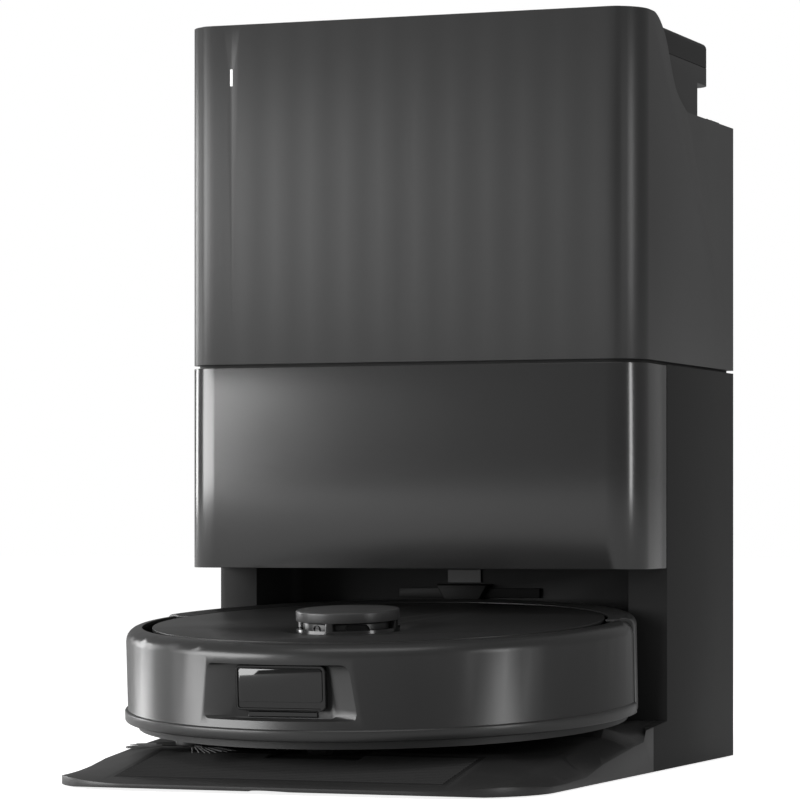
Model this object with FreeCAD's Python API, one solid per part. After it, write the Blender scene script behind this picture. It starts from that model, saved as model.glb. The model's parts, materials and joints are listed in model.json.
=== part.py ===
import FreeCAD, Part
import math
import os
from FreeCAD import Vector as V

# Robot vacuum parked in its emptying and mop-washing station.
# Millimetres. X to the right, -Y towards the person, +Z up.
# The origin is on the floor, at the middle of the whole footprint.

# ---- station: overall sizes ----
total_height = 521.0        # floor to the top of the front shell
station_width = 336.0
tower_depth = 234.0
total_depth = 484.0         # lip of the ramp to the back of the tower
corner_radius = 24.0        # upright corners at the front of the tower
parting_z = 281.4           # middle of the gap between upper and lower tower
parting_gap = 2.0
cover_bottom_z = 139.5      # lower edge of the front cover
cover_wrap = 66.0           # how far the cover reaches back round the corner
cover_wall = 2.5
seat_gap = 0.3              # clearance of a loose piece in its seat
running = 0.05              # radial clearance of a shaft in its bearing

# ---- station: shell details ----
flute_count = 11
flute_depth = 0.7
shell_wall = 6.0
deck_z = 460.0              # rear deck behind the tanks
step_top_y = 49.0           # side wall profile, from the front backwards
step_foot_y = 118.0
floor_foot = 0.8            # height of the base above the floor, on its feet
lip_height = 4.5
crest_y = -142.0
crest_z = 22.0
plinth_z = 34.0
garage_half = 140.0         # half the clear width of the garage
garage_back_y = 142.0
garage_roof_z = 142.0
chamber_back_y = 150.0
chamber_floor_z = 146.0
chamber_half = 152.0
bay_front_y = 158.0
bay_half = 160.0

# ---- tanks ----
tank_rear_y = 193.0
tank_front_y = 20.0
tank_side_gap = 3.5
tank_middle_gap = 5.0
tank_body_top = 487.5
tank_lid_z = 500.4
tank_top = 518.0
tank_overhang = 23.0
tank_wall = 2.5
handle_bar = 9.0

# ---- robot, in its own frame: z = 0 under its wheels, front at -Y ----
robot_radius = 175.0
robot_y = -35.0
robot_z = 26.9
robot_pitch = 3.6           # nose down on the ramp, degrees
robot_lid_z = 78.0
skirt_z = 15.5              # lower edge of the bumper
strip_height = 7.5
strip_proud = 2.0
bumper_wall = 3.5
bumper_travel = 3.0
bumper_half_angle = 97.0
chassis_radius = 166.0
chassis_bottom = 10.0
chassis_floor = 3.0
lid_radius = 153.0
lid_shift = -5.0            # the lid's circle sits a little forward of the body's
lid_thickness = 2.2
recess_shift = -8.0         # the sensor recess sits off the middle
recess_half = 38.0          # half width of its floor along the lower edge
recess_taper = 8.0          # how much narrower its upper edge is
recess_flare_left = 3.3     # its sides spread this much for each millimetre forward
recess_flare_right = 1.8
recess_corner = 7.0
recess_low = 28.5
recess_high = 64.5
recess_y = -157.0
window_half = 28.5
window_low = 39.5
window_high = 61.5
lidar_y = -61.0
lidar_radius = 34.5
lidar_top = 91.0
lidar_cap_height = 7.0
wheel_radius = 33.0
wheel_width = 22.0
wheel_x = 112.0
wheel_y = 8.0
arm_pivot_y = -42.0
arm_pivot_z = 40.0
caster_y = -122.0
caster_radius = 13.0
caster_width = 15.0
caster_trail = 8.0
brush_y = -60.0
brush_z = 20.5
brush_radius = 18.5
brush_half = 70.0
side_brush_x = -88.0
side_brush_y = -122.0
side_brush_reach = 46.0
mop_x = 66.0
mop_y = 84.0
mop_radius = 62.0
mop_low = 1.0
mop_thick = 5.0

# ---- values that follow ----
half_w = station_width / 2
back_y = total_depth / 2
lip_y = -total_depth / 2
front_y = back_y - tower_depth
wrap_y = front_y + cover_wrap
lower_top = parting_z - parting_gap / 2
upper_bottom = parting_z + parting_gap / 2
upper_floor = upper_bottom + shell_wall
slope = math.tan(math.radians(robot_pitch))
skin_radius = robot_radius - strip_proud
contact_front_y = robot_y + skin_radius - 3.5
Z_AXIS = V(0, 0, 1)
X_AXIS = V(1, 0, 0)
Y_AXIS = V(0, 1, 0)


def box(x0, x1, y0, y1, z0, z1):
    return Part.makeBox(x1 - x0, y1 - y0, z1 - z0, V(x0, y0, z0))


def cylinder(radius, height, x, y, z, axis=Z_AXIS):
    return Part.makeCylinder(radius, height, V(x, y, z), axis)


def tube(outer, inner, height, x, y, z, axis=Z_AXIS):
    hole_start = V(x, y, z) - axis
    hole = Part.makeCylinder(inner, height + 2, hole_start, axis)
    return cylinder(outer, height, x, y, z, axis).cut(hole)


def polygon_face(points):
    return Part.Face(Part.makePolygon(points + [points[0]]))


def prism_x(profile, x0, x1):
    """Closed (y, z) outline swept from x0 to x1."""
    face = polygon_face([V(x0, y, z) for y, z in profile])
    return face.extrude(V(x1 - x0, 0, 0))


def fillet_where(shape, radius, test):
    edges = [edge for edge in shape.Edges if test(edge)]
    return shape.makeFillet(radius, edges)


def is_along(edge, axis):
    if edge.Curve.TypeId != "Part::GeomLine":
        return False
    direction = edge.tangentAt(edge.FirstParameter)
    return abs(abs(direction.dot(axis)) - 1) < 1e-6


def rounded_box(x0, x1, y0, y1, z0, z1, radius):
    """A box with its four upright edges rounded."""
    block = box(x0, x1, y0, y1, z0, z1)
    return fillet_where(block, radius, lambda edge: is_along(edge, Z_AXIS))


def soft_box(x0, x1, y0, y1, z0, z1, radius):
    block = box(x0, x1, y0, y1, z0, z1)
    return block.makeFillet(radius, block.Edges)


def mirrored(shape):
    return shape.mirror(V(0, 0, 0), X_AXIS)


def fuse_all(shapes):
    whole = shapes[0].multiFuse(shapes[1:])
    return whole.removeSplitter()


def park(shape):
    """Moves a robot piece from the robot's own frame to its place on the ramp."""
    placed = shape.copy()
    placed.rotate(V(0, 0, 0), X_AXIS, robot_pitch)
    placed.translate(V(0, robot_y, robot_z))
    return placed


def save(name, shape):
    if shape.ShapeType == "Compound" and len(shape.Solids) == 1:
        shape = shape.Solids[0]
    print(name, len(shape.Solids), round(shape.Volume / 1000, 1), shape.isValid())
    shape.exportStep(os.path.join("parts", name + ".step"))


def contact_z(y):
    """Height of the plane under the robot's wheels at a place on the ramp."""
    return robot_z + slope * (y - robot_y)


# ---------------------------------------------------------------- base

track_drop = 0.5            # base surface below the robot's wheels
wing_inner = 118.0          # where the ramp starts to fall towards its side
ridge_x = 150.0
apron_corner = 70.0
caster_slot_half = 33.0
foot_radius = 9.0
foot_height = 3.6
pad_half = 114.0
pad_thick = 1.2
pad_rib_pitch = 4.0
tray_thick = 5.0
tray_half = 134.0
skirt_wall = 8.0
skirt_front_y = 42.0
side_fit = 0.2


def ramp_profiles():
    """Three outlines of the base, from the middle to the outer side."""
    bottom = floor_foot
    part_way = lip_height + (crest_z - lip_height) * (-190.0 - lip_y) / (crest_y - lip_y)
    middle = [(lip_y, bottom), (lip_y, lip_height), (-190.0, part_way), (crest_y, crest_z)]
    for y in (crest_y + 30, -46.0, -19.0, -13.0, 68.0, wrap_y):
        middle.append((y, contact_z(y) - track_drop))
    middle.append((wrap_y, bottom))
    ridge = [(lip_y, bottom), (lip_y, lip_height), (-190.0, 9.6), (-159.0, 15.0), (-107.0, 20.5),
             (-46.0, 25.6), (-19.0, 27.0), (-13.0, plinth_z), (68.0, plinth_z),
             (wrap_y, plinth_z), (wrap_y, bottom)]
    outer = [(lip_y, bottom), (lip_y, lip_height), (-190.0, 4.8), (-145.0, 5.0), (-107.0, 6.4),
             (-71.0, 12.6), (-7.0, 20.0), (19.0, 22.5), (24.0, 30.0),
             (wrap_y, plinth_z), (wrap_y, bottom)]
    return middle, ridge, outer


def loft_between(profile_a, x_a, profile_b, x_b):
    wires = []
    for profile, x in ((profile_a, x_a), (profile_b, x_b)):
        points = [V(x, y, z) for y, z in profile]
        wires.append(Part.makePolygon(points + [points[0]]))
    return Part.makeLoft(wires, True, True)


def apron_outline():
    """The base seen from above, with large rounded corners at the lip."""
    block = box(-half_w, half_w, lip_y, wrap_y, 0, plinth_z + 20)
    front = lambda edge: is_along(edge, Z_AXIS) and edge.Vertexes[0].Y < crest_y
    return fillet_where(block, apron_corner, front)


def lip_scoop():
    """The lip is lifted off the floor, with a shallow finger scoop in its middle."""
    edge = prism_x([(lip_y - 1, -1), (lip_y - 1, 2.6), (lip_y + 30, -1)], -half_w, half_w)
    finger = cylinder(60, 40, -4, lip_y - 5, -57.5, Y_AXIS)
    return edge.fuse(finger)


def foot_places():
    places = []
    for x in (-132.0, 132.0):
        for y in (-170.0, 30.0, 218.0):
            places.append((x, y))
    return places


def make_base_tray():
    middle, ridge, outer = ramp_profiles()
    centre = prism_x(middle, -wing_inner, wing_inner)
    inner_wing = loft_between(middle, wing_inner, ridge, ridge_x)
    outer_wing = loft_between(ridge, ridge_x, outer, half_w)
    apron = fuse_all([centre, inner_wing, outer_wing, mirrored(inner_wing), mirrored(outer_wing)])
    apron = apron.common(apron_outline()).cut(lip_scoop())
    apron = apron.cut(Part.makeCompound(skirt_blocks(side_fit)))
    plinth_half = half_w - skirt_wall - side_fit
    plinth = box(-plinth_half, plinth_half, wrap_y, back_y, floor_foot, plinth_z)
    hollow = box(-plinth_half + 8, plinth_half - 8, wrap_y + 12, back_y - 8, 0, plinth_z - 6)
    side = garage_half - seat_gap
    end = garage_back_y - seat_gap
    floor = prism_x([(wrap_y, 20.0), (wrap_y, contact_z(wrap_y) - track_drop),
                     (end, contact_z(end) - track_drop), (end, 20.0)], -side, side)
    base = fuse_all([apron, plinth, floor]).cut(hollow).fuse(foot_posts())
    slot = box(-caster_slot_half, caster_slot_half, -78, 46, 0, 60)
    slot.translate(V(0, caster_y, -track_drop - 0.1))
    base = base.cut(park(slot))
    base = base.cut(tray_pocket())
    base = base.cut(pad_pocket())
    for x, y in foot_places():
        base = base.cut(cylinder(foot_radius, foot_height, x, y, 0))
    return base.removeSplitter()


def ramp_pad_shape(thick, top):
    """A band lying in the slope of the ramp, from near the lip to the crest."""
    y0 = lip_y + 18
    y1 = crest_y - 6
    rise = (crest_z - lip_height) / (crest_y - lip_y)
    z0 = lip_height + rise * (y0 - lip_y) + top
    z1 = lip_height + rise * (y1 - lip_y) + top
    return prism_x([(y0, z0 - thick), (y0, z0), (y1, z1), (y1, z1 - thick)], -pad_half, pad_half)


def pad_pocket():
    return ramp_pad_shape(pad_thick + 1, 1.0)


def make_ramp_pad():
    pad = ramp_pad_shape(pad_thick, 0.0)
    rise = (crest_z - lip_height) / (crest_y - lip_y)
    ribs = []
    count = int((crest_y - lip_y - 30) / pad_rib_pitch)
    for index in range(count):
        y = lip_y + 22 + index * pad_rib_pitch
        z = lip_height + rise * (y - lip_y)
        ribs.append(prism_x([(y - 0.8, z - 0.4), (y, z + 0.7), (y + 0.8, z - 0.1)],
                            -pad_half + 3, pad_half - 3))
    pad = pad.fuse(ribs)
    slot = box(-caster_slot_half, caster_slot_half, -78, 46, 0, 60)
    slot.translate(V(0, caster_y, -track_drop - 0.1))
    return pad.cut(park(slot))


def tray_plate(thick, drop):
    """A plate under both mops, parallel to the robot."""
    low_y = mop_y - mop_radius - 4
    high_y = 160.0
    plate = rounded_box(-tray_half, tray_half, low_y, high_y, -drop - thick, -drop, 12)
    return park(plate)


def tray_pocket():
    return tray_plate(tray_thick + 4, track_drop + 0.1 - 4)


def make_wash_tray():
    tray = tray_plate(tray_thick, track_drop + 0.1)
    dish_depth = 2.4
    for side in (-1, 1):
        dish = cylinder(mop_radius + 2, 10, side * mop_x, mop_y, -track_drop - 0.1 - dish_depth)
        tray = tray.cut(park(dish))
        for turn in range(12):
            rib = box(14, mop_radius - 4, -1.2, 1.2, -track_drop - 0.2 - dish_depth, -track_drop - 0.3)
            rib.rotate(V(0, 0, 0), Z_AXIS, 30 * turn)
            rib.translate(V(side * mop_x, mop_y, 0))
            tray = tray.fuse(park(rib))
    wall = box(-half_w, half_w, garage_back_y - 2 * seat_gap, 400, 0, 100)
    return tray.cut(wall).removeSplitter()


def foot_posts():
    """Pillars under the plinth that carry the feet behind the hollow."""
    posts = [cylinder(foot_radius + 3, plinth_z - floor_foot, x, y, floor_foot)
             for x, y in foot_places() if y > wrap_y]
    return Part.makeCompound(posts)


def skirt_blocks(fit):
    """Where the tower's side walls run down to the floor, beside the base."""
    inner = half_w - skirt_wall - fit
    block = box(inner, half_w + 5, skirt_front_y - fit, wrap_y + 5, 0, plinth_z + 20)
    return [block, mirrored(block)]


def make_skirt():
    """The side wall's foot, which follows the falling edge of the base."""
    middle, ridge, outer = ramp_profiles()
    toe = loft_between(ridge, ridge_x, outer, half_w)
    toe = toe.common(box(half_w - skirt_wall, half_w, skirt_front_y, wrap_y, 0, plinth_z + 20))
    wall = box(half_w - skirt_wall, half_w, wrap_y, back_y, floor_foot, plinth_z)
    skirt = toe.fuse(wall)
    return [skirt, mirrored(skirt)]


def make_rubber_feet():
    feet = [cylinder(foot_radius - 0.1, foot_height, x, y, 0) for x, y in foot_places()]
    return Part.makeCompound(feet)


# ---------------------------------------------------------------- tower

cover_gap = 0.7
duct_radius = 14.0
duct_low_z = 104.0
duct_high_z = 220.0
fan_x = 95.0
fan_z = 210.0
fan_radius = 45.0
fan_depth = 56.0
rotor_radius = 36.0
contact_x = 30.0
contact_half = 6.0
contact_low = 64.0
contact_high = 76.0
light_x = -131.5
light_low = 478.0
light_high = 490.0
light_half = 1.0
inlet_x = 104.0
inlet_z = 66.0
inlet_half = 14.0
inlet_height = 20.0
screw_radius = 1.6
screw_head = 3.2
screw_length = 12.0
duct_wall = 2.0
port_x = -5.0
guide_reach = 12.0          # bumpers on the garage walls that centre the robot
guide_y = 98.0


def tower_plan(x_half, y0, y1, radius, z0, z1):
    """A tower block with only its two front corners rounded."""
    block = box(-x_half, x_half, y0, y1, z0, z1)
    middle = (y0 + y1) / 2
    front = lambda edge: is_along(edge, Z_AXIS) and edge.Vertexes[0].Y < middle
    return fillet_where(block, radius, front)


def screw_places():
    places = []
    for x in (-150.0, 150.0):
        for z in (60.0, 260.0, 310.0, 440.0):
            places.append((x, z))
    return places


def screw(x, z, clearance):
    head = cylinder(screw_head + clearance, 2.2, x, back_y - 2.2, z, Y_AXIS)
    shank_y = back_y - 2.2 - screw_length
    shank = cylinder(screw_radius + clearance, screw_length, x, shank_y, z, Y_AXIS)
    return head.fuse(shank)


def make_lower_housing():
    tower = box(-half_w, half_w, wrap_y, back_y, plinth_z, lower_top)
    inset = cover_wall + cover_gap
    nose = tower_plan(half_w - inset, front_y + inset, wrap_y + 4, corner_radius - inset,
                      garage_roof_z, lower_top - cover_gap)
    neck = tower_plan(half_w - 4, front_y + 4, back_y - 4, corner_radius - 4,
                      lower_top - 2, upper_bottom)
    shell = fuse_all([tower, nose, neck] + make_skirt())
    side_room = box(garage_half + 6, half_w - 6, wrap_y + 6, chamber_back_y, plinth_z + 6,
                    garage_roof_z - 8)
    shell = shell.cut(Part.makeCompound([side_room, mirrored(side_room)]))
    garage = box(-garage_half, garage_half, front_y - 5, garage_back_y, 0, garage_roof_z)
    garage = fillet_where(garage, 10, lambda e: is_along(e, Z_AXIS) and e.Vertexes[0].Y > wrap_y)
    chamber = rounded_box(-chamber_half, chamber_half, front_y - 20, chamber_back_y,
                          chamber_floor_z, lower_top - 8, 8)
    bay = box(-bay_half, bay_half, bay_front_y, back_y - shell_wall, plinth_z - 1, lower_top - 8)
    shell = shell.cut(Part.makeCompound([garage, chamber, bay]))
    shell = shell.cut(base_floor_block())
    for x in (-contact_x, contact_x):
        half = contact_half + seat_gap
        shell = shell.cut(box(x - half, x + half, garage_back_y - 5, bay_front_y - 2,
                              contact_low - seat_gap, contact_high + seat_gap))
    for z, y0 in ((duct_low_z, garage_back_y - 5), (duct_high_z, chamber_back_y - 5)):
        shell = shell.cut(cylinder(duct_radius + duct_wall + 0.1, 40, 0, y0, z, Y_AXIS))
    shell = shell.cut(box(inlet_x - inlet_half, inlet_x + inlet_half, back_y - 20, back_y + 1,
                          inlet_z, inlet_z + inlet_height))
    for x, z in screw_places():
        if z < parting_z:
            shell = shell.cut(screw(x, z, 0.1))
            shell = shell.fuse(tube(6, screw_radius + 0.1, 9, x, back_y - shell_wall - 9, z, Y_AXIS))
    return shell.removeSplitter()


def base_floor_block():
    """Room for the raised floor of the garage and the washing tray."""
    return box(-garage_half, garage_half, wrap_y - 1, garage_back_y, plinth_z - 2, plinth_z + 20)


def fluted_block():
    """Upper tower block whose front is a row of shallow hollow flutes."""
    bevel = corner_radius
    edge = half_w - bevel
    flute_pitch = 2 * edge / flute_count
    top = total_height - upper_bottom
    start = V(-edge, front_y, upper_bottom)
    lines = []
    here = start
    for index in range(flute_count):
        x1 = -edge + (index + 1) * flute_pitch
        middle = V(x1 - flute_pitch / 2, front_y + flute_depth, upper_bottom)
        there = V(x1, front_y, upper_bottom)
        lines.append(Part.Arc(here, middle, there).toShape())
        here = there
    corner = math.sqrt(0.5) * bevel
    right_mid = V(edge + corner, front_y + bevel - corner, upper_bottom)
    left_mid = V(-edge - corner, front_y + bevel - corner, upper_bottom)
    right_top = V(half_w, front_y + bevel, upper_bottom)
    left_top = V(-half_w, front_y + bevel, upper_bottom)
    right_back = V(half_w, back_y, upper_bottom)
    left_back = V(-half_w, back_y, upper_bottom)
    right_front = V(edge, front_y, upper_bottom)
    left_front = V(-edge, front_y, upper_bottom)
    lines.append(Part.Arc(right_front, right_mid, right_top).toShape())
    lines.append(Part.makeLine(right_top, right_back))
    lines.append(Part.makeLine(right_back, left_back))
    lines.append(Part.makeLine(left_back, left_top))
    lines.append(Part.Arc(left_top, left_mid, left_front).toShape())
    face = Part.Face(Part.Wire(lines))
    return face.extrude(V(0, 0, top))


def side_profile_cut():
    """What the stepped and swept top of the side walls takes away behind the front."""
    high = total_height
    far = back_y + 10
    points = [V(0, 24.0, high), V(0, step_top_y, high - 1.0), V(0, 70.5, high - 14.0),
              V(0, 88.0, high - 39.0), V(0, 97.5, high - 49.0), V(0, step_foot_y, deck_z + 2.0),
              V(0, 151.0, deck_z)]
    curve = Part.BSplineCurve()
    curve.interpolate(Points=points, InitialTangent=Y_AXIS, FinalTangent=Y_AXIS)
    corners = [points[-1], V(0, far, deck_z), V(0, far, high + 20), V(0, 24.0, high + 20), points[0]]
    lines = [curve.toShape()]
    lines += [Part.makeLine(a, b) for a, b in zip(corners, corners[1:])]
    face = Part.Face(Part.Wire(lines))
    face.translate(V(-half_w - 5, 0, 0))
    return face.extrude(V(2 * half_w + 10, 0, 0))


def make_upper_housing():
    shell = fluted_block().cut(side_profile_cut())
    cavity = rounded_box(-half_w + shell_wall, half_w - shell_wall, front_y + shell_wall,
                         back_y - shell_wall, upper_floor, total_height + 10, 10)
    shell = shell.cut(cavity)
    slot = box(light_x - light_half, light_x + light_half, front_y - 2, front_y + shell_wall + 1,
               light_low, light_high)
    shell = shell.cut(slot)
    for x, z in screw_places():
        if z > parting_z:
            shell = shell.cut(screw(x, z, 0.1))
            shell = shell.fuse(tube(6, screw_radius + 0.1, 9, x, back_y - shell_wall - 9, z, Y_AXIS))
    return shell.removeSplitter()


def make_status_light():
    bar = box(light_x - light_half + 0.05, light_x + light_half - 0.05, front_y + 0.4,
              front_y + shell_wall, light_low + 0.05, light_high - 0.05)
    flange = box(light_x - 4, light_x + 4, front_y + shell_wall, front_y + shell_wall + 1.5,
                 light_low - 3, light_high + 3)
    return bar.fuse(flange)


def make_rear_deck():
    x1 = half_w - shell_wall - seat_gap
    y1 = back_y - shell_wall - seat_gap
    y0 = tank_rear_y + 3
    top = deck_z + 3
    plate = rounded_box(-x1, x1, y0, y1, top - 4, top, 10)
    wall = box(-x1, x1, y0, y0 + 3, upper_floor, top)
    deck = plate.fuse(wall)
    for x, z in screw_places():
        if z > parting_z:
            deck = deck.cut(cylinder(7, 30, x, y1 - 12, z, Y_AXIS))
    return deck.removeSplitter()


def make_front_cover():
    outer = tower_plan(half_w, front_y, wrap_y - 1.6, corner_radius, cover_bottom_z, lower_top - 0.4)
    inner = tower_plan(half_w - cover_wall, front_y + cover_wall, wrap_y + 30,
                       corner_radius - cover_wall, cover_bottom_z - 1, lower_top - 0.4 - cover_wall)
    cover = outer.cut(inner)
    clear = tower_plan(half_w - cover_wall - cover_gap, front_y + cover_wall + cover_gap,
                       wrap_y + 30, corner_radius - cover_wall - cover_gap,
                       garage_roof_z - seat_gap, lower_top + 5)
    return cover.cut(clear)


def make_dust_port():
    """Rail on the garage back wall with the suction nose in its middle."""
    rail = box(-55, 53, garage_back_y - 2.5, garage_back_y, 117, 124)
    nose = Part.makeLoft([
        Part.makePolygon([V(-19, garage_back_y - 7.5, 126), V(19, garage_back_y - 7.5, 126),
                          V(12, garage_back_y - 7.5, 114), V(-12, garage_back_y - 7.5, 114),
                          V(-19, garage_back_y - 7.5, 126)]),
        Part.makePolygon([V(-22, garage_back_y, 127), V(22, garage_back_y, 127),
                          V(14, garage_back_y, 113), V(-14, garage_back_y, 113),
                          V(-22, garage_back_y, 127)])], True, True)
    nose.translate(V(port_x, 0, 0))
    return rail.fuse(nose).removeSplitter()


def make_ir_window():
    return box(port_x - 12.5, port_x + 12.5, garage_back_y - 1.5, garage_back_y, 128, 137)


def make_side_guides():
    x0 = garage_half - guide_reach
    guide = box(x0, garage_half, guide_y, guide_y + 14, 55, 107)
    guide = fillet_where(guide, 4, lambda e: abs(e.CenterOfMass.x - x0) < 0.01)
    return Part.makeCompound([guide, mirrored(guide)])


def make_charge_contact(x):
    pad = box(x - contact_half, x + contact_half, contact_front_y, chamber_back_y + 1,
              contact_low, contact_high)
    return fillet_where(pad, 2, lambda e: abs(e.CenterOfMass.y - contact_front_y) < 0.01)


def make_bag_collar():
    plate = box(-40, 40, chamber_back_y - 6, chamber_back_y, duct_high_z - 38, duct_high_z + 34)
    return plate.cut(cylinder(duct_radius, 20, 0, chamber_back_y - 12, duct_high_z, Y_AXIS))


def make_dust_bag():
    return soft_box(-84, 84, front_y + 16, chamber_back_y - 6.3, chamber_floor_z + seat_gap, 264, 14)


def make_dust_duct():
    outer = duct_radius + duct_wall
    y_axis_pipe = bay_front_y + outer
    upright = cylinder(outer, duct_high_z - duct_low_z, 0, y_axis_pipe, duct_low_z)
    low = cylinder(outer, y_axis_pipe - garage_back_y, 0, garage_back_y, duct_low_z, Y_AXIS)
    high = cylinder(outer, y_axis_pipe - chamber_back_y, 0, chamber_back_y, duct_high_z, Y_AXIS)
    ends = [Part.makeSphere(outer, V(0, y_axis_pipe, z)) for z in (duct_low_z, duct_high_z)]
    solid = upright.multiFuse([low, high] + ends)
    bore_up = cylinder(duct_radius, duct_high_z - duct_low_z, 0, y_axis_pipe, duct_low_z)
    bore_low = cylinder(duct_radius, 100, 0, y_axis_pipe - 100, duct_low_z, Y_AXIS)
    bore_high = cylinder(duct_radius, 100, 0, y_axis_pipe - 100, duct_high_z, Y_AXIS)
    bends = [Part.makeSphere(duct_radius, V(0, y_axis_pipe, z)) for z in (duct_low_z, duct_high_z)]
    return solid.cut(Part.makeCompound([bore_up, bore_low, bore_high] + bends))


def make_fan_housing():
    y0 = bay_front_y
    drum = cylinder(fan_radius, fan_depth, fan_x, y0, fan_z, Y_AXIS)
    hollow = cylinder(fan_radius - 3, fan_depth - 6, fan_x, y0 + 3, fan_z, Y_AXIS)
    outlet = cylinder(12, 10, fan_x, y0 + fan_depth - 6, fan_z + 26, Y_AXIS)
    bearing = cylinder(3 + running, 10, fan_x, y0 - 1, fan_z, Y_AXIS)
    boss = tube(8, 3 + running, 12, fan_x, y0, fan_z, Y_AXIS)
    return drum.cut(hollow).cut(outlet).fuse(boss).cut(bearing)


def make_fan_rotor():
    y0 = bay_front_y + 14
    hub = cylinder(10, 22, fan_x, y0, fan_z, Y_AXIS)
    disc = cylinder(rotor_radius, 3, fan_x, y0, fan_z, Y_AXIS)
    shaft = cylinder(3, 30, fan_x, y0 - 12, fan_z, Y_AXIS)
    blades = []
    for turn in range(9):
        blade = box(8, rotor_radius, -1, 1, 0, 20)
        blade.rotate(V(0, 0, 0), Z_AXIS, 40 * turn)
        blade.rotate(V(0, 0, 0), X_AXIS, -90)
        blade.translate(V(fan_x, y0 + 2, fan_z))
        blades.append(blade)
    return fuse_all([hub, disc, shaft] + blades)


def make_pump(x):
    body = rounded_box(x - 20, x + 20, bay_front_y + 4, bay_front_y + 44, plinth_z, plinth_z + 46, 6)
    spout = tube(5, 3, 14, x, bay_front_y + 24, plinth_z + 46)
    return body.fuse(spout)


def make_power_supply():
    return soft_box(-60, 60, bay_front_y + 6, back_y - shell_wall - 10, plinth_z, plinth_z + 40, 1.5)


def make_main_board():
    y1 = back_y - shell_wall
    board = box(-140, -40, y1 - 8, y1 - 6.4, 120, 220)
    pegs = []
    for x in (-134, -46):
        for z in (126, 214):
            pegs.append(cylinder(3, 6.4, x, y1 - 6.4, z, Y_AXIS))
    chips = [box(-120, -96, y1 - 12, y1 - 8, 150, 174), box(-80, -60, y1 - 16, y1 - 8, 180, 205)]
    return board.multiFuse(pegs + chips)


def make_power_inlet():
    half = inlet_half - 0.1
    body = box(inlet_x - half, inlet_x + half, back_y - 20, back_y - 0.2,
               inlet_z + 0.1, inlet_z + inlet_height - 0.1)
    well = box(inlet_x - half + 2, inlet_x + half - 2, back_y - 16, back_y + 1,
               inlet_z + 3, inlet_z + inlet_height - 3)
    body = body.cut(well)
    middle_z = inlet_z + inlet_height / 2
    for x in (inlet_x - 5, inlet_x + 5):
        body = body.fuse(cylinder(1.2, 12, x, back_y - 16.5, middle_z, Y_AXIS))
    return body


def make_housing_screws():
    return Part.makeCompound([screw(x, z, 0) for x, z in screw_places()])


# ---------------------------------------------------------------- tanks

tank_x0 = tank_middle_gap / 2
tank_x1 = half_w - shell_wall - tank_side_gap
handle_x0 = tank_x0 + 34
handle_x1 = tank_x1 - 34
handle_y = 116.0
handle_reach = 62.0
handle_drop = 9.0


def make_tank():
    rear = tank_rear_y + tank_overhang
    low = upper_floor + seat_gap
    body = rounded_box(tank_x0, tank_x1, tank_front_y, tank_rear_y, low, tank_lid_z - 0.4, 14)
    flange = rounded_box(tank_x0, tank_x1, tank_front_y, rear, tank_body_top, tank_lid_z - 0.4, 14)
    inside = rounded_box(tank_x0 + tank_wall, tank_x1 - tank_wall, tank_front_y + tank_wall,
                         tank_rear_y - tank_wall, low + tank_wall, tank_lid_z + 5, 11)
    return body.fuse(flange).cut(inside).removeSplitter()


def make_tank_lid():
    rear = tank_rear_y + tank_overhang
    lid = rounded_box(tank_x0, tank_x1, tank_front_y, rear, tank_lid_z, tank_top, 14)
    top_edge = lambda e: abs(e.CenterOfMass.z - tank_top) < 0.01
    lid = fillet_where(lid, 4, top_edge)
    well = rounded_box(handle_x0 - 5, handle_x1 + 5, handle_y - handle_reach - 6, handle_y + 9,
                       tank_top - handle_drop - 3, tank_top + 5, 6)
    lid = lid.cut(well)
    pin_z = tank_top - handle_drop / 2 - 1
    for x0 in (handle_x0 - 6, handle_x1 - 5):
        lid = lid.fuse(cylinder(2, 11, x0, handle_y, pin_z, X_AXIS))
    return lid


def make_tank_handle():
    """Bail that lies in the lid's well and turns up on two pins."""
    z0 = tank_top - handle_drop
    x0 = handle_x0
    x1 = handle_x1
    y0 = handle_y - handle_reach
    ring = rounded_box(x0, x1, y0, handle_y + 5, z0, tank_top - 2, 4)
    hole = rounded_box(x0 + handle_bar, x1 - handle_bar, y0 + handle_bar, handle_y + 20,
                       z0 - 1, tank_top + 1, 3)
    bail = ring.cut(hole)
    pin_z = tank_top - handle_drop / 2 - 1
    return bail.cut(cylinder(2 + running, x1 - x0 + 2, x0 - 1, handle_y, pin_z, X_AXIS))


# ---------------------------------------------------------------- robot

strip_top = skirt_z + strip_height
flange_low = robot_lid_z - lid_thickness
chassis_top = flange_low - seat_gap
sector_gap = 1.5            # opening between bumper and rear shell, degrees
recess_panel = 3.0
bumper_shoulder = 9.0
shell_shoulder = 6.0
lidar_hole = lidar_radius + 0.7
dish_width = 11.0           # sloping dish round the turret
dish_depth = 3.6
button_radius = 5.0
button_x = 13.0
button_y = -18.0
pin_radius = 3.0
caster_pocket = 24.5
mop_disc_radius = 56.0
mop_plate_z = 8.6
bin_front_y = lidar_y + lidar_radius + 2.0
bridge_z = 62.0             # top of the bar that carries the turret


def ring_profile(points_rz, start_angle, sweep):
    """Sweeps an (r, z) outline round the robot; angle 0 is the front."""
    face = polygon_face([V(0, -r, z) for r, z in points_rz])
    solid = face.revolve(V(0, 0, 0), Z_AXIS, sweep)
    solid.rotate(V(0, 0, 0), Z_AXIS, start_angle)
    return solid


def shoulder(outer, top, radius, steps=6):
    """Rounded upper outer edge of a ring, as (r, z) points."""
    points = []
    for index in range(steps + 1):
        angle = math.radians(90.0 * index / steps)
        points.append((outer - radius + radius * math.cos(angle), top - radius + radius * math.sin(angle)))
    return points


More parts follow.
